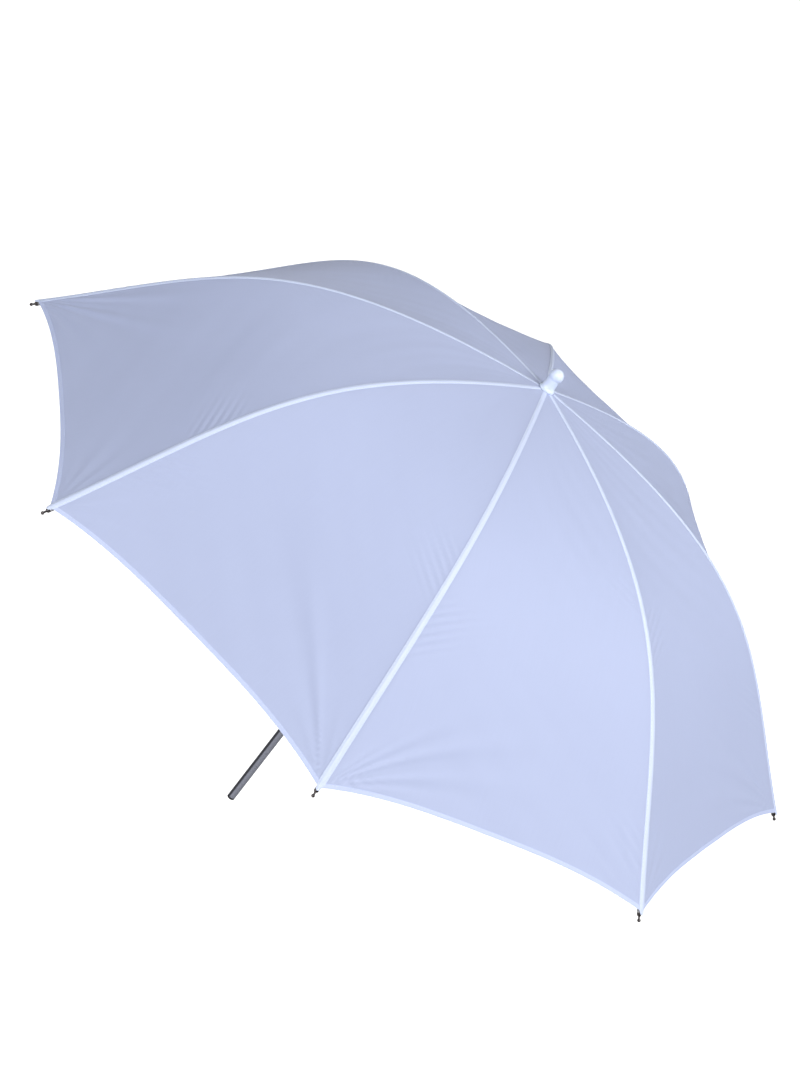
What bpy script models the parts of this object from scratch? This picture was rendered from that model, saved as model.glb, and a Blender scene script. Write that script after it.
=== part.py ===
"""Studio umbrella reflector, open: an eight-rib frame on a thin steel shaft, with its fabric canopy.

Metres, +Z up along the shaft. The origin is the middle of the flat face at the shaft's lower end.
Each rib lies in its own spoke frame: X outwards, Y across the rib, Z along the shaft from the crown.
"""

import math

import bmesh
import bpy
from mathutils import Matrix, Vector

# Driving dimensions
RIB_COUNT = 8
TIP_RADIUS = 0.42
BOWL_DEPTH = 0.2154
CROWN_HEIGHT = 0.545
SHAFT_RADIUS = 0.004
SHAFT_BORE = 0.0034
GAP = 0.0003

# The canopy's outer line over a rib: a Bezier curve from the crown to the tip
CROWN_RADIUS = 0.0084
CROWN_SLOPE = math.radians(5.0)
TIP_SLOPE = math.radians(44.4)
CROWN_HANDLE = 0.2615
TIP_HANDLE = 0.1751

# Canopy
FABRIC = 0.0006
CENTRE_HOLE = 0.0055
GORE_SAG = 0.0067
HEM_DIP = 0.0266
HEM_POWER = 3.0

# Ribs: a channel, open towards the inside of the bowl
RIB_DROP = 0.0027
RIB_HALF_WIDTH = 0.0015
RIB_TOP = 0.0012
RIB_BOTTOM = -0.0020
RIB_WALL = 0.0004
RIB_PIVOT = Vector((0.0065, 0.0, -RIB_DROP))
CHANNEL_START = 0.0110
BLADE_LENGTH = 0.0145
BLADE_HALF = 0.0007
EYE_RADIUS = 0.00125
EYE_HOLE = 0.00075
EYE_STEP = 0.0001
FLEX_RADIUS = 0.2285

# Wire rings, pins and rivets
WIRE = 0.00045
WIRE_GROOVE = WIRE + GAP
PIN = 0.00075
RIVET = 0.0004
RIVET_HEAD = 0.0009
RIVET_HEAD_THICKNESS = 0.00035
RIVET_HOLE = RIVET + GAP
RIVET_RADIUS = 0.220
RIVET_DROP = 0.0010
PIN_TURN = math.radians(112.5)
CATCH_TURN = math.radians(22.5)

# Crown notch, below the canopy
NOTCH_RADIUS = 0.0090
NOTCH_HALF = 0.0014
NOTCH_SLOT_START = 0.0048
NOTCH_SLOT_HALF = 0.0010
NOTCH_SLEEVE = 0.00495
NOTCH_SLEEVE_LENGTH = 0.0095
CROWN_PIN_DROP = 0.0060
CROWN_PIN_HALF = 0.0052
SLIDING_BORE = SHAFT_RADIUS + GAP

# Runner, with the stretchers' wire at its origin
RUNNER_HEIGHT = 0.3915
RUNNER_WIRE_RADIUS = 0.0095
RUNNER_TOP = 0.0022
RUNNER_COLLAR_RADIUS = 0.0115
RUNNER_COLLAR_BOTTOM = -0.0018
RUNNER_SLEEVE = 0.0070
RUNNER_BOTTOM = -0.0400
RUNNER_GRIP_RADIUS = 0.0090
RUNNER_GRIP_TOP = -0.0340
RUNNER_SLOT_START = 0.0073
RUNNER_SLOT_HALF = 0.0009
KEYWAY_RADIUS = 0.0060
KEYWAY_HALF = 0.0016
STOP_PIN_HALF = 0.0062

# Stretchers
STRETCHER_HALF = 0.0010
TONGUE_HALF = 0.0006
STRETCHER_EYE = 0.0011
STRETCHER_BODY_START = 0.025
STRETCHER_BODY_END = 0.012
STRETCHER_BODY_HALF = 0.0012

# Catch
CATCH_TOP = RUNNER_HEIGHT + RUNNER_BOTTOM - 0.0005
CATCH_NOSE_RADIUS = 0.0056
CATCH_NOSE_LENGTH = 0.012
CATCH_BACK_LENGTH = 0.020
CATCH_HALF_WIDTH = 0.0009

# Top cap
CAP_FLANGE_RADIUS = 0.00775
CAP_NECK_RADIUS = 0.00575
CAP_BALL_RADIUS = 0.0067
CAP_BALL_HEIGHT = 0.0160
CAP_FLANGE_TOP = 0.0018
CAP_FLARE_SHARE = 0.62
CAP_BALL_STEPS = 14
SHAFT_ABOVE_CROWN = 0.0090

# Rib tips
TIP_BALL_RADIUS = 0.0016
TIP_BALL_OUT = 0.0070
TIP_AXIS = (RIB_TOP + RIB_BOTTOM) / 2
TIP_SOCKET_RADIUS = 0.0021
TIP_SOCKET_LENGTH = 0.0022
TIP_SHOULDER_RADIUS = 0.0017
TIP_SHOULDER_OUT = 0.0032
TIP_NECK_RADIUS = 0.0009
TIP_NECK_OUT = 0.0038

PLUG_FLANGE = 0.0020
PLUG_LENGTH = 0.012

ROUND = 24
CAP_ROUND = 40
SMALL_ROUND = 10
TIP_ROUND = 14

# Cutters reach this far, past the walls that they open
CUTTER_HALF = 0.007
CUTTER_REACH = 0.014
CUTTER_TOP = 0.003


# Shapes, each returned as a mesh

def mesh_of(name, points, faces):
    """A closed mesh with its faces turned outwards."""
    bm = bmesh.new()
    verts = [bm.verts.new(p) for p in points]
    for face in faces:
        bm.faces.new([verts[i] for i in face])
    bmesh.ops.recalc_face_normals(bm, faces=bm.faces)
    if bm.calc_volume(signed=True) < 0:
        bmesh.ops.reverse_faces(bm, faces=bm.faces)
    mesh = bpy.data.meshes.new(name)
    bm.to_mesh(mesh)
    bm.free()
    return mesh


def lathe(name, outline, steps=ROUND, ring=False):
    """Turns an outline of (radius, height) round Z. A ring's outline closes on itself."""
    points = []
    rows = []
    for radius, height in outline:
        turns = 1 if radius < 1e-9 else steps
        rows.append([len(points) + i for i in range(turns)])
        for i in range(turns):
            turn = 2 * math.pi * (i + 0.5) / steps
            points.append((radius * math.cos(turn), radius * math.sin(turn), height))
    faces = []
    pairs = list(zip(rows, rows[1:] + rows[:1] if ring else rows[1:]))
    for low, high in pairs:
        for i in range(steps):
            j = (i + 1) % steps
            corners = [low[i % len(low)], low[j % len(low)], high[j % len(high)], high[i % len(high)]]
            face = list(dict.fromkeys(corners))
            if len(face) > 2:
                faces.append(face)
    return mesh_of(name, points, faces)


def loft(name, sections):
    """Joins sections of equally many points into one body with capped ends."""
    count = len(sections[0])
    points = [p for section in sections for p in section]
    faces = [list(range(count)), [len(points) - 1 - i for i in range(count)]]
    for s in range(len(sections) - 1):
        for i in range(count):
            j = (i + 1) % count
            a, b = s * count, (s + 1) * count
            faces.append([a + i, a + j, b + j, b + i])
    return mesh_of(name, points, faces)


def plate(name, outline, half):
    """An outline of (x, z), extruded to both sides of the XZ plane."""
    return loft(name, [[(x, y, z) for x, z in outline] for y in (-half, half)])


def box(name, low, high):
    (x0, y0, z0), (x1, y1, z1) = low, high
    ring = [(x0, y0), (x1, y0), (x1, y1), (x0, y1)]
    return loft(name, [[(x, y, z) for x, y in ring] for z in (z0, z1)])


def torus(name, radius, thickness, steps=32, around=6):
    turns = [2 * math.pi * (i + 0.5) / around for i in range(around)]
    outline = [(radius + thickness * math.cos(a), thickness * math.sin(a)) for a in turns]
    return lathe(name, outline, steps, ring=True)


def rod(name, radius, half=CUTTER_HALF, steps=SMALL_ROUND):
    return lathe(name, [(0, -half), (radius, -half), (radius, half), (0, half)], steps)


def across(mesh, turn=math.pi / 2, place=(0, 0, 0)):
    """Lays a shape made along Z down along Y, turned about Z by turn, at a place."""
    lay = Matrix.Rotation(math.pi / 2, 4, "X")
    mesh.transform(Matrix.Translation(place) @ Matrix.Rotation(turn - math.pi / 2, 4, "Z") @ lay)
    return mesh


def turned(mesh, turn):
    mesh.transform(Matrix.Rotation(turn, 4, "Z"))
    return mesh


def combined(name, base, joined=(), cut=()):
    """A mesh with others joined to it, and then others cut from it, worked in millimetres."""
    for mesh in (base, *joined, *cut):
        mesh.transform(Matrix.Scale(1000, 4))
    body = bpy.data.objects.new(name, base)
    bpy.context.scene.collection.objects.link(body)
    tools = []
    for operation, meshes in (("UNION", joined), ("DIFFERENCE", cut)):
        for mesh in meshes:
            tool = bpy.data.objects.new(mesh.name, mesh)
            bpy.context.scene.collection.objects.link(tool)
            modifier = body.modifiers.new(operation, "BOOLEAN")
            modifier.operation = operation
            modifier.solver = "EXACT"
            modifier.object = tool
            tools.append(tool)
    bpy.context.view_layer.update()
    graph = bpy.context.evaluated_depsgraph_get()
    result = bpy.data.meshes.new_from_object(body.evaluated_get(graph))
    result.name = name
    result.transform(Matrix.Scale(0.001, 4))
    for tool in tools + [body]:
        bpy.data.objects.remove(tool)
    return result


# The line of a rib, in its spoke frame

def bezier(t):
    """Point and direction (x, z) of the canopy's outer line over a rib, t from crown to tip."""
    start = Vector((CROWN_RADIUS, 0.0))
    end = Vector((TIP_RADIUS, -BOWL_DEPTH))
    first = start + CROWN_HANDLE * Vector((math.cos(CROWN_SLOPE), -math.sin(CROWN_SLOPE)))
    second = end - TIP_HANDLE * Vector((math.cos(TIP_SLOPE), -math.sin(TIP_SLOPE)))
    u = 1 - t
    point = u**3 * start + 3 * u * u * t * first + 3 * u * t * t * second + t**3 * end
    along = u * u * (first - start) + 2 * u * t * (second - first) + t * t * (end - second)
    return point, along.normalized()


def line(t, offset=0.0):
    """A point of the rib's line, moved outwards along its normal, and the line's direction."""
    point, along = bezier(t)
    return point + offset * Vector((-along.y, along.x)), along


def where(radius):
    """The curve's parameter at a radius, by halving."""
    low, high = 0.0, 1.0
    for _ in range(40):
        middle = (low + high) / 2
        if bezier(middle)[0].x < radius:
            low = middle
        else:
            high = middle
    return (low + high) / 2


T_FLEX = where(FLEX_RADIUS)
T_RIVET = where(RIVET_RADIUS)
# Ribs and canopy share these stations, so that their facets run parallel
STATIONS = [T_FLEX * i / 6 for i in range(6)] + [T_FLEX + (1 - T_FLEX) * i / 7 for i in range(8)]
FLEX_AT = line(T_FLEX)[0]
RIVET_AT = line(T_RIVET, -RIB_DROP - RIVET_DROP)[0]
RUNNER_AT = Vector((RUNNER_WIRE_RADIUS, RUNNER_HEIGHT - CROWN_HEIGHT))
STRETCHER_LENGTH = (RUNNER_AT - RIVET_AT).length


def spoke_point(xz, y=0.0):
    return Vector((xz.x, y, xz.y))


# Materials and objects

def material(name, colour, roughness, metallic=0.0):
    made = bpy.data.materials.new(name)
    made.use_nodes = True
    shader = made.node_tree.nodes["Principled BSDF"]
    shader.inputs["Base Color"].default_value = (*colour, 1.0)
    shader.inputs["Roughness"].default_value = roughness
    shader.inputs["Metallic"].default_value = metallic
    return made


def add(name, mesh, look, parent=None, place=(0, 0, 0)):
    """An object whose mesh is given in its parent's frame, with its own origin at place."""
    if mesh.users == 0:
        mesh.transform(Matrix.Translation(-Vector(place)))
        mesh.materials.clear()
        mesh.materials.append(look)
        mesh.shade_smooth()
        mesh.set_sharp_from_angle(angle=math.radians(35))
    obj = bpy.data.objects.new(name, mesh)
    obj.parent = parent
    obj.location = place
    bpy.context.scene.collection.objects.link(obj)
    return obj


# Shaft and what is fixed to it

def shaft(look):
    top = CROWN_HEIGHT + SHAFT_ABOVE_CROWN
    bottom = PLUG_FLANGE + GAP
    outline = [(SHAFT_RADIUS, bottom), (SHAFT_RADIUS, top), (SHAFT_BORE, top), (SHAFT_BORE, bottom)]
    tube = lathe("shaft", outline, ring=True)
    crown_hole = across(rod("crown_hole", PIN + GAP), PIN_TURN, (0, 0, crown_pin_height()))
    stop_hole = across(rod("stop_hole", PIN + GAP), PIN_TURN, (0, 0, stop_pin_height()))
    low = (0.0, -CATCH_HALF_WIDTH - GAP, CATCH_TOP - CATCH_NOSE_LENGTH - 2 * GAP)
    high = (CUTTER_HALF, CATCH_HALF_WIDTH + GAP, CATCH_TOP + GAP)
    slot = turned(box("catch_slot", low, high), CATCH_TURN)
    add("shaft", combined("shaft", tube, cut=[crown_hole, stop_hole, slot]), look)


def crown_pin_height():
    return CROWN_HEIGHT + RIB_PIVOT.z - CROWN_PIN_DROP


def stop_pin_height():
    return RUNNER_HEIGHT + RUNNER_TOP + GAP + PIN


def shaft_end_plug(look):
    inside = SHAFT_BORE - GAP
    chamfer = 0.0003
    outline = [(0, 0), (SHAFT_RADIUS - chamfer, 0), (SHAFT_RADIUS, chamfer), (SHAFT_RADIUS, PLUG_FLANGE),
               (inside, PLUG_FLANGE), (inside, PLUG_LENGTH), (0, PLUG_LENGTH)]
    add("shaft_end_plug", lathe("shaft_end_plug", outline), look)


def slots(name, start, half, low):
    cutters = []
    for k in range(RIB_COUNT):
        slot = box(f"{name}_{k}", (start, -half, low), (CUTTER_REACH, half, CUTTER_TOP))
        cutters.append(turned(slot, 2 * math.pi * k / RIB_COUNT))
    return cutters


def crown_notch(look):
    groove = RIB_PIVOT.x - WIRE_GROOVE
    outline = [(SLIDING_BORE, -NOTCH_SLEEVE_LENGTH), (NOTCH_SLEEVE, -NOTCH_SLEEVE_LENGTH),
               (NOTCH_SLEEVE, -NOTCH_HALF), (NOTCH_RADIUS, -NOTCH_HALF), (NOTCH_RADIUS, -WIRE_GROOVE),
               (groove, -WIRE_GROOVE), (groove, WIRE_GROOVE), (NOTCH_RADIUS, WIRE_GROOVE),
               (NOTCH_RADIUS, NOTCH_HALF), (SLIDING_BORE, NOTCH_HALF)]
    ring = lathe("crown_notch", outline, ring=True)
    cutters = slots("notch_slot", NOTCH_SLOT_START, NOTCH_SLOT_HALF, -NOTCH_HALF - GAP / 2)
    hole = across(rod("notch_hole", PIN + GAP), PIN_TURN, (0, 0, -CROWN_PIN_DROP))
    place = (0, 0, CROWN_HEIGHT + RIB_PIVOT.z)
    mesh = combined("crown_notch", ring, cut=cutters + [hole])
    mesh.transform(Matrix.Translation(place))
    add("crown_notch", mesh, look)


def top_cap(look):
    join = CAP_BALL_HEIGHT - math.sqrt(CAP_BALL_RADIUS**2 - CAP_NECK_RADIUS**2)
    turn = math.asin(CAP_NECK_RADIUS / CAP_BALL_RADIUS)
    outline = [(0, CAP_BALL_HEIGHT + CAP_BALL_RADIUS)]
    for i in range(1, CAP_BALL_STEPS + 1):
        a = (math.pi - turn) * i / CAP_BALL_STEPS
        outline.append((CAP_BALL_RADIUS * math.sin(a), CAP_BALL_HEIGHT + CAP_BALL_RADIUS * math.cos(a)))
    flare = CAP_FLANGE_RADIUS - CAP_NECK_RADIUS
    flare_rise = (join - CAP_FLANGE_TOP) * CAP_FLARE_SHARE
    for i in range(1, 7):
        a = math.pi / 2 * i / 6
        outline.append((CAP_FLANGE_RADIUS - flare * math.cos(a),
                        CAP_FLANGE_TOP + flare_rise * (1 - math.sin(a))))
    outline += [(CAP_FLANGE_RADIUS, GAP), (SLIDING_BORE, GAP),
                (SLIDING_BORE, SHAFT_ABOVE_CROWN + GAP), (0, SHAFT_ABOVE_CROWN + GAP)]
    mesh = lathe("top_cap", outline, CAP_ROUND)
    mesh.transform(Matrix.Translation((0, 0, CROWN_HEIGHT)))
    add("top_cap", mesh, look)


def cross_pin(name, half, height, look):
    add(name, across(rod(name, PIN, half), PIN_TURN, (0, 0, height)), look, place=(0, 0, height))


def wire_ring(name, radius, height, look):
    mesh = torus(name, radius, WIRE)
    mesh.transform(Matrix.Translation((0, 0, height)))
    add(name, mesh, look, place=(0, 0, height))


# Runner and catch

def runner(look):
    groove = RUNNER_WIRE_RADIUS - WIRE_GROOVE
    outline = [(SLIDING_BORE, RUNNER_BOTTOM), (RUNNER_GRIP_RADIUS, RUNNER_BOTTOM),
               (RUNNER_GRIP_RADIUS, RUNNER_GRIP_TOP), (RUNNER_SLEEVE, RUNNER_GRIP_TOP + 0.002),
               (RUNNER_SLEEVE, RUNNER_COLLAR_BOTTOM), (RUNNER_COLLAR_RADIUS, RUNNER_COLLAR_BOTTOM),
               (RUNNER_COLLAR_RADIUS, -WIRE_GROOVE), (groove, -WIRE_GROOVE), (groove, WIRE_GROOVE),
               (RUNNER_COLLAR_RADIUS, WIRE_GROOVE), (RUNNER_COLLAR_RADIUS, RUNNER_TOP),
               (SLIDING_BORE, RUNNER_TOP)]
    cutters = slots("runner_slot", RUNNER_SLOT_START, RUNNER_SLOT_HALF, RUNNER_COLLAR_BOTTOM - GAP)
    keyway = box("keyway", (0, -KEYWAY_HALF, RUNNER_BOTTOM - GAP), (KEYWAY_RADIUS, KEYWAY_HALF, CUTTER_TOP))
    ring = lathe("runner", outline, ring=True)
    mesh = combined("runner", ring, cut=cutters + [turned(keyway, CATCH_TURN)])
    mesh.transform(Matrix.Translation((0, 0, RUNNER_HEIGHT)))
    add("runner", mesh, look, place=(0, 0, RUNNER_HEIGHT))


def catch(look):
    back, face = 0.0012, 0.0026
    outline = [(back, -CATCH_BACK_LENGTH), (face, -CATCH_BACK_LENGTH), (face, -CATCH_NOSE_LENGTH),
               (CATCH_NOSE_RADIUS, -0.0012), (CATCH_NOSE_RADIUS, 0), (back, 0)]
    mesh = turned(plate("catch", outline, CATCH_HALF_WIDTH), CATCH_TURN)
    mesh.transform(Matrix.Translation((0, 0, CATCH_TOP)))
    add("catch", mesh, look, place=(0, 0, CATCH_TOP))


# Ribs, rivets, tips and stretchers, in the spoke frame

def channel(name, t_start, t_end):
    half, inner = RIB_HALF_WIDTH, RIB_HALF_WIDTH - RIB_WALL
    roof = RIB_TOP - RIB_WALL
    outline = [(-half, RIB_BOTTOM), (-inner, RIB_BOTTOM), (-inner, roof), (inner, roof),
               (inner, RIB_BOTTOM), (half, RIB_BOTTOM), (half, RIB_TOP), (-half, RIB_TOP)]
    sections = []
    for t in [t_start] + [t for t in STATIONS if t_start + 0.01 < t < t_end - 0.01] + [t_end]:
        sections.append([spoke_point(line(t, -RIB_DROP + h)[0], y) for y, h in outline])
    return loft(name, sections)


def rib_inner_mesh():
    start = where(RIB_PIVOT.x + CHANNEL_START)
    body = channel("rib_inner", start, where(FLEX_RADIUS - GAP))
    aim = spoke_point(line(where(RIB_PIVOT.x + BLADE_LENGTH), -RIB_DROP)[0]) - RIB_PIVOT
    outline = [(0, -0.0012), (BLADE_LENGTH, -0.0012), (BLADE_LENGTH, 0.0010), (0, 0.0010)]
    blade = plate("blade", outline, BLADE_HALF)
    lean = Matrix.Rotation(math.atan2(-aim.z, aim.x), 4, "Y")
    blade.transform(Matrix.Translation(RIB_PIVOT) @ lean)
    eye = across(rod("eye", EYE_RADIUS, BLADE_HALF - EYE_STEP), place=RIB_PIVOT)
    eye_hole = across(rod("eye_hole", EYE_HOLE), place=RIB_PIVOT)
    rivet_hole = across(rod("rivet_hole", RIVET_HOLE), place=spoke_point(RIVET_AT))
    return combined("rib_inner", body, [blade, eye], [eye_hole, rivet_hole])


def rib_outer_mesh():
    return channel("rib_outer", where(FLEX_RADIUS + GAP), 1.0)


def rivet_mesh():
    edge = RIB_HALF_WIDTH + GAP
    top = edge + RIVET_HEAD_THICKNESS
    outline = [(0, -top), (RIVET_HEAD, -top), (RIVET_HEAD, -edge), (RIVET, -edge),
               (RIVET, edge), (RIVET_HEAD, edge), (RIVET_HEAD, top), (0, top)]
    return across(lathe("rivet", outline, SMALL_ROUND), place=spoke_point(RIVET_AT))


def tip_mesh():
    end, along = line(1.0, -RIB_DROP + TIP_AXIS)
    neck = TIP_NECK_RADIUS
    outline = [(0, GAP), (TIP_SOCKET_RADIUS, GAP), (TIP_SOCKET_RADIUS, TIP_SOCKET_LENGTH),
               (TIP_SHOULDER_RADIUS, TIP_SHOULDER_OUT), (neck, TIP_NECK_OUT),
               (neck, TIP_BALL_OUT - math.sqrt(TIP_BALL_RADIUS**2 - neck**2))]
    low = math.asin(neck / TIP_BALL_RADIUS)
    for i in range(1, 6):
        a = low + (math.pi - low) * i / 5
        radius = TIP_BALL_RADIUS * math.sin(a) if i < 5 else 0
        outline.append((radius, TIP_BALL_OUT - TIP_BALL_RADIUS * math.cos(a)))
    mesh = lathe("rib_tip", outline, TIP_ROUND)
    turn = Vector((0, 0, 1)).rotation_difference(spoke_point(along)).to_matrix().to_4x4()
    mesh.transform(Matrix.Translation(spoke_point(end)) @ turn)
    return mesh


def stretcher_mesh():
    """From the rivet (local origin, X along the stretcher) to an open hook under the runner's wire."""
    length = STRETCHER_LENGTH
    start, thin, full = -0.0003, 0.012, 0.016
    low, top = -0.00205, -WIRE_GROOVE
    lip, end, lip_top = length + 0.0008, length + 0.0015, 0.0009
    outline = [(start, -STRETCHER_HALF / 2), (thin, -STRETCHER_HALF / 2), (full, -STRETCHER_HALF),
               (length - 0.008, -STRETCHER_HALF), (length - 0.006, low),
               (end, low), (end, lip_top), (lip, lip_top), (lip, top), (length - 0.006, top),
               (length - 0.008, STRETCHER_HALF), (start, STRETCHER_HALF)]
    blade = plate("stretcher", outline, TONGUE_HALF)
    half = STRETCHER_BODY_HALF
    body = box("stretcher_body", (STRETCHER_BODY_START, -half, -STRETCHER_HALF - 0.0002),
               (length - STRETCHER_BODY_END, half, STRETCHER_HALF + 0.0002))
    eye = across(rod("stretcher_eye", STRETCHER_EYE, TONGUE_HALF - EYE_STEP))
    hole = across(rod("stretcher_hole", RIVET_HOLE))
    mesh = combined("stretcher", blade, [body, eye], [hole])
    aim = RUNNER_AT - RIVET_AT
    inward = Matrix(((aim.x, 0, aim.y, 0), (0, length, 0, 0), (aim.y, 0, -aim.x, 0), (0, 0, 0, length)))
    inward = inward * (1 / length)
    inward[3][3] = 1.0
    mesh.transform(Matrix.Translation(spoke_point(RIVET_AT)) @ inward)
    if inward.determinant() < 0:
        mesh.flip_normals()
    return mesh


# Canopy: one panel of fabric to each rib, from one gore's middle to the next

def canopy_point(t, side, share, depth):
    """A point of the panel: share 0 on the rib to 1 at the gore's middle, side -1 or 1, at a depth."""
    half_turn = math.pi / RIB_COUNT
    dip = HEM_DIP * t * (1 - (1 - share) ** HEM_POWER)
    point, along = bezier(t - dip)
    radius = point.x
    chord = 2 * radius * math.sin(half_turn)
    u = share * (0.5 - GAP / 2 / chord)
    sag = GORE_SAG * chord * 4 * u * (1 - u) + depth
    x = radius - u * chord * math.sin(half_turn)
    y = u * chord * math.cos(half_turn)
    lean = half_turn if share > 0 else 0.0
    inward = Vector((along.y * math.cos(lean), along.y * math.sin(lean), -along.x))
    place = Vector((x, y, point.y)) + sag * inward
    if share == 1.0:
        place.y = min(place.y, math.tan(half_turn) * place.x - GAP / 2 / math.cos(half_turn))
    place.y *= side
    return place


def canopy_mesh():
    shares = [(-1, 1.0), (-1, 0.62), (-1, 0.28), (1, 0.0), (1, 0.28), (1, 0.62), (1, 1.0)]
    sections = [hub_section(CENTRE_HOLE, shares)]
    for t in STATIONS:
        outer = [canopy_point(t, side, share, 0.0) for side, share in shares]
        inner = [canopy_point(t, side, share, FABRIC) for side, share in shares]
        sections.append(outer + inner[::-1])
    return loft("canopy", sections)


def hub_section(radius, shares):
    """The panel's edge round the shaft, where the fabric is flat."""
    half_turn = math.pi / RIB_COUNT
    outer, inner = [], []
    for side, share in shares:
        reach = radius * math.tan(half_turn) * share
        y = side * (reach - (GAP / 2 / math.cos(half_turn) if share == 1.0 else 0.0))
        outer.append(Vector((radius, y, 0.0)))
        inner.append(Vector((radius, y, -FABRIC)))
    return outer + inner[::-1]


def spokes(looks):
    meshes = {"rib_inner": rib_inner_mesh(), "rib_outer": rib_outer_mesh(), "rivet": rivet_mesh(),
              "rib_tip": tip_mesh(), "stretcher": stretcher_mesh(), "canopy": canopy_mesh()}
    places = {"rib_inner": RIB_PIVOT, "rib_outer": spoke_point(FLEX_AT), "rivet": spoke_point(RIVET_AT),
              "rib_tip": spoke_point(line(1.0)[0]), "stretcher": spoke_point(RIVET_AT), "canopy": RIB_PIVOT}
    for k in range(RIB_COUNT):
        spoke = bpy.data.objects.new(f"spoke_{k + 1}", None)
        spoke.location = (0, 0, CROWN_HEIGHT)
        spoke.rotation_euler = (0, 0, -2 * math.pi * k / RIB_COUNT)
        bpy.context.scene.collection.objects.link(spoke)
        for kind, mesh in meshes.items():
            add(f"{kind}_{k + 1}", mesh, looks[kind], spoke, places[kind])


def main():
    for obj in list(bpy.data.objects):
        bpy.data.objects.remove(obj)
    steel = material("shaft_steel", (0.30, 0.31, 0.34), 0.28, 0.9)
    wire = material("steel_wire", (0.45, 0.45, 0.47), 0.35, 1.0)
    plastic = material("dark_plastic", (0.03, 0.03, 0.035), 0.5)
    pale = material("pale_plastic", (0.74, 0.80, 0.92), 0.4)
    dark = material("dark_steel", (0.11, 0.10, 0.10), 0.42, 0.8)
    fabric = material("canopy_fabric", (0.60, 0.66, 0.84), 0.8)
    shaft(steel)
    shaft_end_plug(plastic)
    crown_notch(plastic)
    wire_ring("crown_wire", RIB_PIVOT.x, CROWN_HEIGHT + RIB_PIVOT.z, wire)
    cross_pin("crown_pin", CROWN_PIN_HALF, crown_pin_height(), wire)
    top_cap(pale)
    runner(plastic)
    wire_ring("runner_wire", RUNNER_WIRE_RADIUS, RUNNER_HEIGHT, wire)
    cross_pin("runner_stop", STOP_PIN_HALF, stop_pin_height(), wire)
    catch(wire)
    spokes({"rib_inner": steel, "rib_outer": steel, "rivet": wire, "rib_tip": dark,
            "stretcher": steel, "canopy": fabric})


main()
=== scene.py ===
"""Studio look of the umbrella reflector: fabric, seams, hems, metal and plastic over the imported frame."""
import math

import bpy
import numpy as np
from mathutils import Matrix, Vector


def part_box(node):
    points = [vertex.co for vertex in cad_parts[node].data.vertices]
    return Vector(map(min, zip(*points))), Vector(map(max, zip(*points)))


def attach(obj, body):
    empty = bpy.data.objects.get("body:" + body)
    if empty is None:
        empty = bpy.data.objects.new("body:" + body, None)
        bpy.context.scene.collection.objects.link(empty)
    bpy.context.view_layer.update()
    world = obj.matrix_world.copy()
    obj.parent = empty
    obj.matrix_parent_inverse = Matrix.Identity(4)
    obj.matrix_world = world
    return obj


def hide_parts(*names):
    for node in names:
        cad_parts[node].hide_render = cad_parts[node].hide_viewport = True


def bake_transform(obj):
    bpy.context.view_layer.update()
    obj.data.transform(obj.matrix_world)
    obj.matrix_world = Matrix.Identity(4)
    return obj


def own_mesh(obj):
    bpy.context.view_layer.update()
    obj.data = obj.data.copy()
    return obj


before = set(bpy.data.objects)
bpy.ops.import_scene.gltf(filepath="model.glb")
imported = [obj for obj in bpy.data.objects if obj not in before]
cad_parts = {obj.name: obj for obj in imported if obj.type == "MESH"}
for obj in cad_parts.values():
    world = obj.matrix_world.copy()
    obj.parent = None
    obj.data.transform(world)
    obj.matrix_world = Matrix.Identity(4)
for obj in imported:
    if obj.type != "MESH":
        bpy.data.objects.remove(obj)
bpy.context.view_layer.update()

# The frame's driving sizes, in metres
RIBS = 8
HALF_TURN = math.pi / RIBS
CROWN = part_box("canopy_1")[1].z
TIP_RADIUS = 0.42
BOWL_DEPTH = 0.2154
CROWN_RADIUS = 0.0084
CROWN_SLOPE = math.radians(5.0)
TIP_SLOPE = math.radians(44.4)
CROWN_HANDLE = 0.2615
TIP_HANDLE = 0.1751
CENTRE_HOLE = 0.0055
FLEX_RADIUS = 0.2285
GORE_SAG = 0.0067
HEM_DIP = 0.0266
HEM_POWER = 3.0

# Slack of each gore, and where it is deepest between crown and tip
GORE_SLACK = ((0.0012, 0.2), (0.0050, 0.3), (0.0085, 0.22), (0.0110, 0.2), (0.0080, 0.42), (0.0020, 0.3),
              (0.0015, 0.2), (0.0012, 0.2))

# Folds at the two tips of each gore: angle from the seam in degrees, width there, reach, height
CALM = ((22, 6, 0.07, 0.0007), (48, 7, 0.06, 0.0009), (70, 6, 0.05, 0.0007))
LIVELY = ((12, 4, 0.14, 0.0019), (21, 4, 0.08, 0.0016), (34, 4.5, 0.13, 0.0022), (49, 5, 0.06, 0.0014),
          (60, 5, 0.10, 0.0014), (77, 4.5, 0.06, 0.0012))
LONG = ((42, 4.5, 0.22, 0.0011), (18, 5, 0.06, 0.0006), (62, 6, 0.06, 0.0007))
LOW = ((29, 5, 0.06, 0.0008), (40, 4.5, 0.10, 0.0012), (52, 4.5, 0.13, 0.0016), (60, 4, 0.08, 0.0012),
       (69, 4, 0.12, 0.0014), (80, 4, 0.07, 0.0011))
TIP_FOLDS = (CALM, LIVELY, LIVELY, CALM, CALM, LOW, LIVELY, CALM,
             CALM, LOW, LOW, CALM, CALM, LOW, LONG, CALM)

# Puckers beside the seams: their height, their spacing, and how far up from the tip they reach
PUCKER = 0.0004
PUCKER_SPACING = 0.014
FREE_UP = 0.36

# Sewing
SEAM_CROWN = 0.0024
SEAM_TIP = 0.0036
SEAM_LIFT = 0.0006
POCKET = 0.0055
HEM_WIDTH = 0.0042
HEM_LIFT = 0.00032
HEM_SHARE = HEM_WIDTH / (3 * TIP_HANDLE)
STITCH = 0.0034
WEAVE = 0.0007

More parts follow.
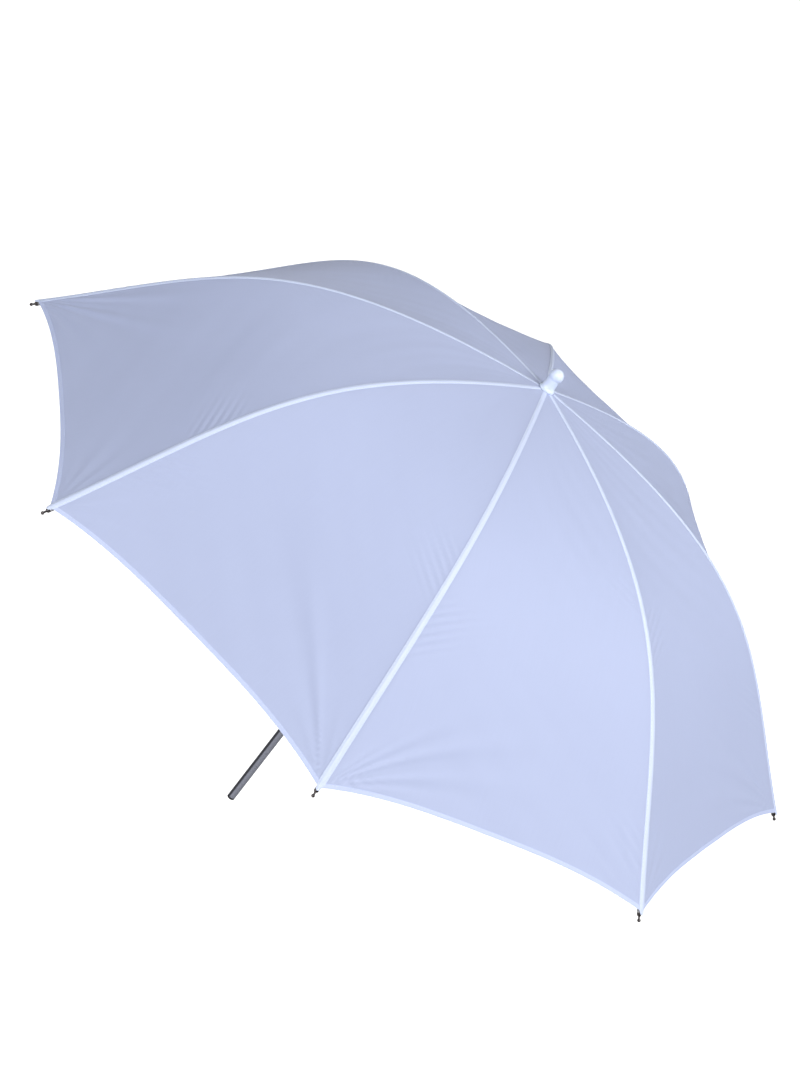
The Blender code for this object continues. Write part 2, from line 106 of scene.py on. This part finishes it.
# The shaft's painted reflection: a dark streak along it, and a painted highlight beside it. Where the dark
# streak starts and is darkest, and where the highlight starts and is brightest, as distances from the
# shaft's axis towards the streak
PAINTED_DARK_STREAK = (0.0033, 0.0039)
PAINTED_BRIGHT_STREAK = (-0.001, 0.0030)

# How far the fabric gathers when the umbrella folds: the share of its width that each panel keeps.
# The crown panel reaches CROWN_SHARE of the way to the tip.
CROWN_SHARE = 0.13
KEEP_CROWN = 0.34
KEEP_INNER = 0.21
KEEP_OUTER = 0.10
FOLD_SLOPE_INNER = math.radians(12.6)
FOLD_SLOPE_OUTER = math.radians(40.9)

# Studio: the soft light from all round, and lights (azimuth, elevation, size, power)
AMBIENT = 0.10
FLOOR_GLOW = 0.15
FLOOR_HEIGHT = -1.3
BACKDROP = 1.05
LIGHTS = ((90, 48, 1.6, 53), (0, 12, 1.6, 40), (45, 48, 1.6, 30.5), (135, 48, 1.6, 30.5))
LIGHT_DISTANCE = 3.0
LIGHT_TARGET = (0, 0, 0.4)
FLOOR_HALF = 40.0

# Camera
CAMERA_AT = (1.6108, 1.2687, 1.3412)
CAMERA_TURN = (58.225, -33.1225, 147.449)
LENS = 81.16


# Geometry of the canopy

FIRST = (CROWN_RADIUS + CROWN_HANDLE * math.cos(CROWN_SLOPE), -CROWN_HANDLE * math.sin(CROWN_SLOPE))
SECOND = (TIP_RADIUS - TIP_HANDLE * math.cos(TIP_SLOPE), -BOWL_DEPTH + TIP_HANDLE * math.sin(TIP_SLOPE))


def line(t):
    """Radius, height from the crown, and the direction of the curve over a rib, t from crown to tip."""
    u = 1 - t
    r = u**3 * CROWN_RADIUS + 3 * u * u * t * FIRST[0] + 3 * u * t * t * SECOND[0] + t**3 * TIP_RADIUS
    z = 3 * u * u * t * FIRST[1] + 3 * u * t * t * SECOND[1] - t**3 * BOWL_DEPTH
    dr = (u * u * (FIRST[0] - CROWN_RADIUS) + 2 * u * t * (SECOND[0] - FIRST[0])
          + t * t * (TIP_RADIUS - SECOND[0]))
    dz = u * u * FIRST[1] + 2 * u * t * (SECOND[1] - FIRST[1]) - t * t * (BOWL_DEPTH + SECOND[1])
    size = np.hypot(dr, dz)
    return r, z, dr / size, dz / size


TABLE = np.linspace(0, 1, 2001)
TABLE_R, TABLE_Z = line(TABLE)[:2]
TABLE_ARC = np.concatenate([[0], np.cumsum(np.hypot(np.diff(TABLE_R), np.diff(TABLE_Z)))])
T_FLEX = float(np.interp(FLEX_RADIUS, TABLE_R, TABLE))


def arc(t):
    """Length along the rib's line from the crown, in metres."""
    return np.interp(t, TABLE, TABLE_ARC)


def half_chord(t):
    return line(t)[0] * math.sin(HALF_TURN)


def azimuth(rib):
    return -2 * math.pi * (rib - 1) / RIBS


def bump(value, centre, width):
    return np.exp(-(((value - centre) / width) ** 2))


def crease(value, centre, width):
    """A fold: a ridge with a shallow hollow beside it."""
    return bump(value, centre, width) - 0.55 * bump(value, centre + 1.7 * width, 1.2 * width)


def tip_folds(folds, near, up):
    """Folds that run out of a tip. Each is (angle from the seam in degrees, width there, reach, height)."""
    distance = np.hypot(near, up) + 1e-6
    grow = distance**2 / (distance**2 + 0.035**2)
    turn = np.degrees(np.arctan2(near, up))
    out = 0.0
    for angle, width, reach, height in folds:
        bend = angle + 40 * (distance / 0.12) ** 2 * (0.05 if angle > 45 else -0.04)
        out = out + height * grow * np.exp(-((distance / reach) ** 2)) * crease(turn, bend, width)
    return out


def puckers(near, up, gore, side):
    """Short slanting folds beside a seam, in a few places along it."""
    phase = 1.7 * gore + 2.9 * side - 4.1
    clear_of_crown = np.clip((FREE_UP - up) / 0.06, 0, 1)
    waves = np.sin(19 * up + phase) + 0.6 * np.sin(43 * up + 2.3 * phase)
    spots = clear_of_crown * np.clip(waves - 0.35, 0, 1)
    slant = np.sin(2 * math.pi * (up - 0.75 * near) / PUCKER_SPACING + 3 * np.sin(9 * up + phase))
    return PUCKER * spots * slant * (near / 0.006) * np.exp(-near / 0.012)


def wrinkle(gore, t, u):
    """How far the cloth stands out of the smooth gore."""
    up = (1 - t) * 3 * TIP_HANDLE
    chord = 2 * half_chord(t)
    out = 0.0
    for side, edge in ((0, u), (1, 1 - u)):
        near = edge * chord
        out = out + tip_folds(TIP_FOLDS[(gore - 1) * 2 + side], near, up)
        out = out + puckers(near, up, gore, side)
    # long soft undulations of a gore under tension
    taper = np.minimum(1.0, t / 0.2)
    out = out + 0.0007 * taper * np.sin(math.pi * u) * np.sin(2 * math.pi * (u + 0.13 * gore)) * t
    out = out + 0.00030 * taper * bump(u, 0.5, 0.3) * np.sin(21 * t + 5 * gore + 9 * u)
    out = out + 0.00012 * taper * np.sin(math.pi * u) * np.sin(70 * t + 31 * u + 2 * gore)
    return out * np.clip(np.minimum(u, 1 - u) * chord / 0.003, 0, 1)


def cloth_points(gore, t, u, lift=0.0):
    """Points of gore `gore`, between ribs gore and gore + 1: u 0 to 1 across, t 0 to 1 from crown to hem."""
    dip = HEM_DIP * t * (1 - np.abs(2 * u - 1) ** HEM_POWER)
    r, z, dr, dz = line(t - dip)
    chord = 2 * r * math.sin(HALF_TURN)
    amount, deepest = GORE_SLACK[gore - 1]
    slack = GORE_SAG * chord + amount * bump(t, deepest, 0.16) * np.clip(t / 0.08, 0, 1)
    depth = slack * 4 * u * (1 - u) - wrinkle(gore, t, u) - lift
    a = azimuth(gore) - HALF_TURN
    x = r * math.cos(HALF_TURN) + dz * depth
    y = chord * (0.5 - u)
    z = CROWN + z - dr * depth
    return np.stack([x * math.cos(a) - y * math.sin(a), x * math.sin(a) + y * math.cos(a), z], -1)


def unit(vectors):
    return vectors / np.maximum(np.linalg.norm(vectors, axis=-1, keepdims=True), 1e-12)


STEP = 0.0012


def across_cloth(gore, t, u, lift=0.0):
    after, before = np.minimum(1, u + STEP), np.maximum(0, u - STEP)
    return cloth_points(gore, t, after, lift) - cloth_points(gore, t, before, lift)


def cloth_normals(gore, t, u):
    along = cloth_points(gore, np.minimum(1, t + STEP), u) - cloth_points(gore, np.maximum(0, t - STEP), u)
    return unit(np.cross(across_cloth(gore, t, u), along))


def places(t, u):
    """Where points lie in the metric UV map: metres across from the gore's middle, and from the crown."""
    return np.stack(np.broadcast_arrays(2 * half_chord(t) * (u - 0.5), arc(t)), -1)


class Cloth:
    """Grids of points gathered into one mesh, with a metric UV map."""

    def __init__(self, name):
        self.name, self.points, self.normals, self.places, self.faces, self.looks = name, [], [], [], [], []

    def grid(self, points, normals, places, look=0):
        """Arrays of rows by columns; look is the faces' material index."""
        first = sum(len(block) for block in self.points)
        rows, columns = points.shape[:2]
        for store, values in ((self.points, points), (self.normals, normals), (self.places, places)):
            depth = values.shape[-1]
            store.append(np.broadcast_to(values, (rows, columns, depth)).reshape(-1, depth))
        k = first + (np.arange(rows - 1)[:, None] * columns + np.arange(columns - 1)).ravel()
        self.faces.append(np.stack([k, k + 1, k + columns + 1, k + columns], -1))
        self.looks += [look] * len(k)

    def build(self, *looks):
        mesh = bpy.data.meshes.new(self.name)
        mesh.from_pydata(np.concatenate(self.points).tolist(), [], np.concatenate(self.faces).tolist())
        mesh.polygons.foreach_set("material_index", self.looks)
        corners = np.empty(len(mesh.loops), np.int32)
        mesh.loops.foreach_get("vertex_index", corners)
        uv = mesh.uv_layers.new(name="cloth")
        uv.data.foreach_set("uv", np.concatenate(self.places)[corners].astype(np.float32).ravel())
        mesh.shade_smooth()
        mesh.normals_split_custom_set_from_vertices(np.concatenate(self.normals).tolist())
        return add(self.name, mesh, *looks)


def add(name, mesh, *looks):
    obj = bpy.data.objects.new(name, mesh)
    bpy.context.scene.collection.objects.link(obj)
    for look in looks:
        mesh.materials.append(look)
    return obj


def spaced(count, low, high, crowd=1.0):
    """Values from low to high, crowded towards low when crowd is over 1."""
    return low + (high - low) * np.linspace(0, 1, count) ** crowd


# Shader nodes

def material(name, colour, roughness, metallic=0.0):
    made = bpy.data.materials.new(name)
    made.use_nodes = True
    shader = made.node_tree.nodes["Principled BSDF"]
    shader.inputs["Base Color"].default_value = (*colour, 1.0)
    shader.inputs["Roughness"].default_value = roughness
    shader.inputs["Metallic"].default_value = metallic
    return made, made.node_tree, shader


def node(tree, kind, inputs=(), **settings):
    made = tree.nodes.new(kind)
    for key, value in settings.items():
        setattr(made, key, value)
    for key, value in dict(inputs).items():
        if isinstance(value, bpy.types.NodeSocket):
            tree.links.new(value, made.inputs[key])
        else:
            made.inputs[key].default_value = value
    return made


def math_node(tree, operation, a, b=0.0):
    return node(tree, "ShaderNodeMath", {0: a, 1: b}, operation=operation).outputs[0]


def blend_colour(tree, factor, a, b):
    made = node(tree, "ShaderNodeMix", data_type="RGBA")
    for index, value in ((0, factor), (6, a), (7, b)):
        if isinstance(value, bpy.types.NodeSocket):
            tree.links.new(value, made.inputs[index])
        else:
            made.inputs[index].default_value = value if index == 0 else (*value, 1.0)
    return made.outputs[2]


def noise(tree, vector, scale, detail=2.0):
    made = node(tree, "ShaderNodeTexNoise", {"Vector": vector, "Scale": scale, "Detail": detail})
    return made.outputs["Fac"]


def smooth_step(tree, value, low, high):
    """0 where value is under low, 1 where it is over high, and a smooth change between."""
    made = node(tree, "ShaderNodeMapRange", {"Value": value, "From Min": low, "From Max": high},
                interpolation_type="SMOOTHSTEP")
    return made.outputs[0]


def band(tree, value, centre, half):
    """1 where value is within half of centre, else 0."""
    off = math_node(tree, "ABSOLUTE", math_node(tree, "SUBTRACT", value, centre))
    return math_node(tree, "LESS_THAN", off, half)


def cloth_material(name, colour, through, clear, stitch_lines=(), along="Y", painted_edge_highlight=0.0):
    """Thin woven nylon that lets light through: plain weave, streaks in the yarn, and rows of stitches.

    stitch_lines are places of rows of stitches in the metric UV map, which run along its Y or X. The last
    argument is the width of a painted highlight, a paler strip along the edge beside the map's other axis.
    """
    made, tree, shader = material(name, colour, 0.62)
    uv = node(tree, "ShaderNodeUVMap", uv_map="cloth").outputs[0]
    parts = node(tree, "ShaderNodeSeparateXYZ", {0: uv})
    across, length = parts.outputs[0], parts.outputs[1]
    if along == "X":
        across, length = length, across
    warp = math_node(tree, "SINE", math_node(tree, "MULTIPLY", parts.outputs[0], 2 * math.pi / WEAVE))
    weft = math_node(tree, "SINE", math_node(tree, "MULTIPLY", parts.outputs[1], 2 * math.pi / WEAVE))
    weave = math_node(tree, "MULTIPLY", warp, weft)
    streaked = node(tree, "ShaderNodeMapping", {"Vector": uv, "Scale": (900.0, 14.0, 1.0)}).outputs[0]
    streaks = noise(tree, streaked, 1.0)
    clouds = noise(tree, uv, 9.0, 3.0)
    tone = math_node(tree, "ADD", math_node(tree, "MULTIPLY", streaks, 0.5),
                     math_node(tree, "MULTIPLY", clouds, 0.5))
    deep = tuple(c * 0.95 for c in colour)
    pale = tuple(min(1.0, c * 1.04) for c in colour)
    coloured = blend_colour(tree, tone, deep, pale)
    if painted_edge_highlight:
        # painted highlight: a paler strip along the edge
        coloured = blend_colour(tree, band(tree, across, 0.0, painted_edge_highlight), coloured, SEAM)
    height = math_node(tree, "MULTIPLY", weave, 0.3)
    for line in stitch_lines:
        stitches = math_node(tree, "DIVIDE", length, STITCH)
        dash = math_node(tree, "LESS_THAN", math_node(tree, "FRACT", stitches), 0.78)
        thread = math_node(tree, "MULTIPLY", band(tree, across, line, 0.00030), dash)
        # the groove beside a row of stitches: a dip in the bump height, and painted shade darkening the
        # colour there
        ditch_and_painted_shade = band(tree, across, line, 0.00065)
        coloured = blend_colour(tree, math_node(tree, "MULTIPLY", ditch_and_painted_shade, 0.15), coloured,
                                tuple(c * 0.75 for c in colour))
        coloured = blend_colour(tree, thread, coloured, tuple(min(1.0, c * 1.10) for c in colour))
        height = math_node(tree, "ADD", height, math_node(tree, "SUBTRACT", thread, ditch_and_painted_shade))
    relief = node(tree, "ShaderNodeBump", {"Height": height, "Strength": 0.25, "Distance": 0.0002})
    tree.links.new(relief.outputs[0], shader.inputs["Normal"])
    tree.links.new(coloured, shader.inputs["Base Color"])
    shader.inputs["Sheen Weight"].default_value = 0.15
    shader.inputs["Sheen Roughness"].default_value = 0.5
    shader.inputs["Specular IOR Level"].default_value = 0.3
    light = node(tree, "ShaderNodeBsdfTranslucent", {"Color": (*through, 1.0)})
    tree.links.new(relief.outputs[0], light.inputs["Normal"])
    mixed = node(tree, "ShaderNodeMixShader", {0: clear, 1: shader.outputs[0], 2: light.outputs[0]})
    tree.links.new(mixed.outputs[0], tree.nodes["Material Output"].inputs["Surface"])
    return made


def metal_material(name, colour, roughness, lengthwise, metallic=1.0, painted_streak_azimuth=None):
    """Drawn metal: fine lines along one axis of the object, with dull patches.

    The last argument is the azimuth of a painted reflection along a tube: a dark streak, with a painted
    highlight beside it.
    """
    made, tree, shader = material(name, colour, roughness, metallic)
    place = node(tree, "ShaderNodeTexCoord").outputs["Object"]
    drawn = node(tree, "ShaderNodeMapping", {"Vector": place, "Scale": lengthwise}).outputs[0]
    lines = noise(tree, drawn, 1.0, 3.0)
    patches = noise(tree, place, 45.0, 3.0)
    both = math_node(tree, "ADD", math_node(tree, "MULTIPLY", lines, 0.6),
                     math_node(tree, "MULTIPLY", patches, 0.4))
    coloured = blend_colour(tree, both, tuple(c * 0.82 for c in colour),
                            tuple(min(1, c * 1.14) for c in colour))
    if painted_streak_azimuth is not None:
        # painted reflection: a dark streak on the side facing the given azimuth, and a painted highlight
        # beside it
        apart = node(tree, "ShaderNodeSeparateXYZ", {0: place})
        facing = math_node(tree, "ADD", math_node(tree, "MULTIPLY", apart.outputs[0], math.cos(painted_streak_azimuth)),
                           math_node(tree, "MULTIPLY", apart.outputs[1], math.sin(painted_streak_azimuth)))
        near = smooth_step(tree, facing, *PAINTED_DARK_STREAK)
        coloured = blend_colour(tree, near, coloured, tuple(c * 0.22 for c in colour))
        painted_highlight = smooth_step(tree, facing, *PAINTED_BRIGHT_STREAK)
        off_painted_streak = math_node(tree, "SUBTRACT", 1.0, near)
        coloured = blend_colour(tree, math_node(tree, "MULTIPLY", painted_highlight, off_painted_streak),
                                coloured, tuple(min(1, c * 1.25) for c in colour))
    tree.links.new(coloured, shader.inputs["Base Color"])
    rough = node(tree, "ShaderNodeMapRange",
                 {"Value": both, "To Min": roughness * 0.75, "To Max": roughness * 1.3})
    tree.links.new(rough.outputs[0], shader.inputs["Roughness"])
    relief = node(tree, "ShaderNodeBump", {"Height": lines, "Strength": 0.12, "Distance": 0.0001})
    tree.links.new(relief.outputs[0], shader.inputs["Normal"])
    return made


def plastic_material(name, colour, roughness, through=0.0):
    """Moulded plastic: a faint grain and slow change of tone."""
    made, tree, shader = material(name, colour, roughness)
    place = node(tree, "ShaderNodeTexCoord").outputs["Object"]
    grain = noise(tree, place, 2200.0)
    slow = noise(tree, place, 90.0, 3.0)
    deep, pale = tuple(c * 0.93 for c in colour), tuple(min(1, c * 1.05) for c in colour)
    tree.links.new(blend_colour(tree, slow, deep, pale), shader.inputs["Base Color"])
    rough = node(tree, "ShaderNodeMapRange",
                 {"Value": slow, "To Min": roughness * 0.85, "To Max": roughness * 1.2})
    tree.links.new(rough.outputs[0], shader.inputs["Roughness"])
    relief = node(tree, "ShaderNodeBump", {"Height": grain, "Strength": 0.10, "Distance": 0.0001})
    tree.links.new(relief.outputs[0], shader.inputs["Normal"])
    shader.inputs["Subsurface Weight"].default_value = through
    shader.inputs["Subsurface Radius"].default_value = (0.002, 0.002, 0.003)
    return made


FABRIC = (0.50, 0.56, 0.78)
LIGHT_THROUGH = (0.56, 0.62, 0.84)
HEM = (0.66, 0.73, 0.96)
SEAM = (0.69, 0.77, 1.0)
fabric = cloth_material("canopy_nylon", FABRIC, LIGHT_THROUGH, 0.32)
# the hem's folded edge carries a painted highlight 0.9 mm wide
hem_cloth = cloth_material("hem_nylon", HEM, LIGHT_THROUGH, 0.28, (HEM_WIDTH * 0.8,), "X", 0.0009)
seam_cloth = cloth_material("seam_nylon", SEAM, LIGHT_THROUGH, 0.18, (-0.7 * SEAM_TIP, 0.7 * SEAM_TIP))
# the shaft's colour holds a painted reflection, a dark streak and a painted highlight at fixed azimuths
shaft_metal = metal_material("shaft_grey_steel", (0.25, 0.26, 0.31), 0.24, (700.0, 700.0, 9.0), 0.85,
                             painted_streak_azimuth=math.radians(-4))
rib_metal = metal_material("rib_spring_steel", (0.42, 0.43, 0.46), 0.34, (60.0, 60.0, 60.0))
wire_metal = metal_material("bright_wire", (0.50, 0.50, 0.52), 0.28, (300.0, 300.0, 300.0))
tip_metal = metal_material("dark_turned_steel", (0.085, 0.075, 0.075), 0.33, (500.0, 500.0, 500.0), 0.8)
pale_plastic = plastic_material("pale_moulding", (0.68, 0.76, 0.95), 0.30, 0.25)
dark_plastic = plastic_material("dark_moulding", (0.028, 0.028, 0.032), 0.48)


# Canopy

def gather(piece):
    """Gives the half gore beside a rib a mesh of its own."""
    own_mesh(piece)


def half_gore(rib, side, part):
    """The cloth beside one rib: side 1 reaches into gore `rib`, side -1 into the one before it."""
    gore = rib if side == 1 else (rib - 2) % RIBS + 1
    # reach along the rib, columns and rows of the mesh, and how it gathers
    low, high, columns, rows, slope, keep = {
        "crown": (0.0, CROWN_SHARE, 26, 24, FOLD_SLOPE_INNER, KEEP_CROWN),
        "inner": (CROWN_SHARE, T_FLEX, 26, 54, FOLD_SLOPE_INNER, KEEP_INNER),
        "outer": (T_FLEX, 1 - HEM_SHARE, 52, 92, FOLD_SLOPE_OUTER, KEEP_OUTER)}[part]
    crown, outer = part == "crown", part == "outer"
    bone = "rib_outer" if outer else "rib_inner"
    u = spaced(columns, 0.0, 0.5, 1.25)
    u = u if side == 1 else 1 - u[::-1]
    t = spaced(rows, low, high)[:, None]
    points, normals = cloth_points(gore, t, u), cloth_normals(gore, t, u)
    cloth = Cloth(f"canopy_{part}_{rib}{'a' if side == 1 else 'b'}")
    if crown:
        hub = points[:1] * (CENTRE_HOLE / CROWN_RADIUS, CENTRE_HOLE / CROWN_RADIUS, 1)
        hub[..., 2] = CROWN
        upward = np.array([[[0.0, 0.0, 1.0]]])
        cloth.grid(np.concatenate([hub, points[:1]]), upward, places(t[:1] * np.ones((2, 1)), u))
    cloth.grid(points, normals, places(t, u))
    if outer:
        cloth.grid(*hem_rows(gore, u), 1)
    piece = cloth.build(fabric, hem_cloth) if outer else cloth.build(fabric)
    gather(piece)
    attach(piece, f"{bone}_{rib}")
    seams = [seam(rib)] if crown and side == 1 else []
    return piece


def hem_rows(gore, u):
    """The folded hem: from its sewn edge outside, round the hem's end, to the same edge inside."""
    shares = np.array([1.0, 0.97, 0.90, 0.80, 0.72, 0.55, 0.25, 0.10, 0.02,
                       0.0, 0.02, 0.10, 0.5, 0.80, 0.97])
    lifts = HEM_LIFT * np.array([0.0, 0.9, 1.0, 0.45, 0.95, 1.0, 1.0, 0.9, 0.45,
                                 0.0, -0.45, -0.9, -1.0, -1.0, -0.4])
    t = (1 - HEM_SHARE * shares)[:, None]
    points = cloth_points(gore, t, u, lifts[:, None])
    around = np.gradient(points, axis=0)
    normals = unit(np.cross(across_cloth(gore, t, u, lifts[:, None]), around))
    distance = np.broadcast_to(HEM_WIDTH * shares[:, None], points.shape[:2])
    across = np.broadcast_to(2 * half_chord(1.0) * (u - 0.5), points.shape[:2])
    return points, normals, np.stack([across, distance], -1)


def seam(rib):
    """The lapped seam over a rib, from the crown to the tip, with two rows of stitches."""
    before = (rib - 2) % RIBS + 1
    shares = np.array([-1.0, -0.95, -0.82, -0.70, -0.58, -0.38, -0.15,
                       0.15, 0.38, 0.58, 0.70, 0.82, 0.95, 1.0])
    lifts = np.array([0.05, 0.62, 0.80, 0.66, 0.86, 1.06, 1.15, 1.15, 1.06, 0.86, 0.66, 0.80, 0.62, 0.05])
    t = spaced(134, 0.0, 1.0 + POCKET)
    half = np.minimum(SEAM_CROWN + (SEAM_TIP - SEAM_CROWN) * t, 0.55 * half_chord(t))
    half = half * (1 - 0.5 * np.clip((t - 1 + POCKET) / (2 * POCKET), 0, 1) ** 2)
    columns = []
    for share, lift in zip(shares, lifts):
        u = abs(share) * half / (2 * half_chord(t))
        gore, at = (before, 1 - u) if share < 0 else (rib, u)
        columns.append(cloth_points(gore, t, at, SEAM_LIFT * lift * (0.45 + 0.55 * t)))
    points = np.stack(columns, 1)
    normals = unit(np.cross(np.gradient(points, axis=1), np.gradient(points, axis=0)))
    cloth = Cloth(f"seam_{rib}")
    cloth.grid(points, normals, np.stack(np.broadcast_arrays(SEAM_TIP * shares, arc(t)[:, None]), -1))
    piece = cloth.build(seam_cloth)
    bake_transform(piece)
    return piece


for rib in range(1, RIBS + 1):
    halves = [half_gore(rib, side, part) for part in ("crown", "inner", "outer") for side in (1, -1)]
    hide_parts(f"canopy_{rib}")


# Metal and plastic carried over from the frame

def dress(look, *names):
    for name in names:
        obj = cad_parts[name]
        obj.data.materials.clear()
        obj.data.materials.append(look)
        obj.data.shade_smooth()
        obj.data.set_sharp_from_angle(angle=math.radians(35))


def numbered(*kinds):
    return [f"{kind}_{k}" for kind in kinds for k in range(1, RIBS + 1)]


dress(shaft_metal, "shaft")
dress(rib_metal, *numbered("rib_inner", "rib_outer", "stretcher"))
dress(wire_metal, "crown_wire", "runner_wire", "crown_pin", "runner_stop", "catch", *numbered("rivet"))
dress(dark_plastic, "shaft_end_plug", "crown_notch", "runner")
dress(pale_plastic, "top_cap")
dress(tip_metal, *numbered("rib_tip"))


# Studio

def stage_floor():
    mesh = bpy.data.meshes.new("floor")
    corners = [(x * FLOOR_HALF, y * FLOOR_HALF, 0) for x, y in ((-1, -1), (1, -1), (1, 1), (-1, 1))]
    mesh.from_pydata(corners, [], [(0, 1, 2, 3)])
    look, tree, shader = material("pale_floor", (0.93, 0.93, 0.93), 0.9)
    shader.inputs["Emission Color"].default_value = (1, 1, 1, 1)
    seen = node(tree, "ShaderNodeLightPath").outputs["Is Camera Ray"]
    glow = math_node(tree, "ADD", math_node(tree, "MULTIPLY", seen, BACKDROP - FLOOR_GLOW), FLOOR_GLOW)
    tree.links.new(glow, shader.inputs["Emission Strength"])
    floor = add("floor", mesh, look)
    floor.location.z = FLOOR_HEIGHT


def area_light(name, turn, height, size, power):
    light = bpy.data.lights.new(name, "AREA")
    light.shape = "DISK"
    light.size = size
    light.energy = power
    obj = bpy.data.objects.new(name, light)
    turn, height = math.radians(turn), math.radians(height)
    way = Vector((math.cos(turn) * math.cos(height), math.sin(turn) * math.cos(height), math.sin(height)))
    obj.location = Vector(LIGHT_TARGET) + way * LIGHT_DISTANCE
    obj.rotation_euler = way.to_track_quat("Z", "Y").to_euler()
    bpy.context.scene.collection.objects.link(obj)


def studio():
    world = bpy.data.worlds.new("studio")
    bpy.context.scene.world = world
    world.use_nodes = True
    tree = world.node_tree
    soft = tree.nodes["Background"]
    soft.inputs["Color"].default_value = (1.0, 1.0, 1.0, 1.0)
    soft.inputs["Strength"].default_value = AMBIENT
    white = node(tree, "ShaderNodeBackground", {"Color": (1, 1, 1, 1), "Strength": BACKDROP})
    path = node(tree, "ShaderNodeLightPath")
    mixed = node(tree, "ShaderNodeMixShader",
                 {0: path.outputs["Is Camera Ray"], 1: soft.outputs[0], 2: white.outputs[0]})
    tree.links.new(mixed.outputs[0], tree.nodes["World Output"].inputs["Surface"])
    for number, (turn, height, size, power) in enumerate(LIGHTS, 1):
        area_light(f"light_{number}", turn, height, size, power)
    bpy.context.scene.view_settings.view_transform = "Standard"


def camera():
    data = bpy.data.cameras.new("camera")
    data.lens = LENS
    data.sensor_width = 36.0
    obj = bpy.data.objects.new("camera", data)
    obj.location = CAMERA_AT
    obj.rotation_euler = [math.radians(a) for a in CAMERA_TURN]
    bpy.context.scene.collection.objects.link(obj)
    bpy.context.scene.camera = obj


stage_floor()
studio()
camera()
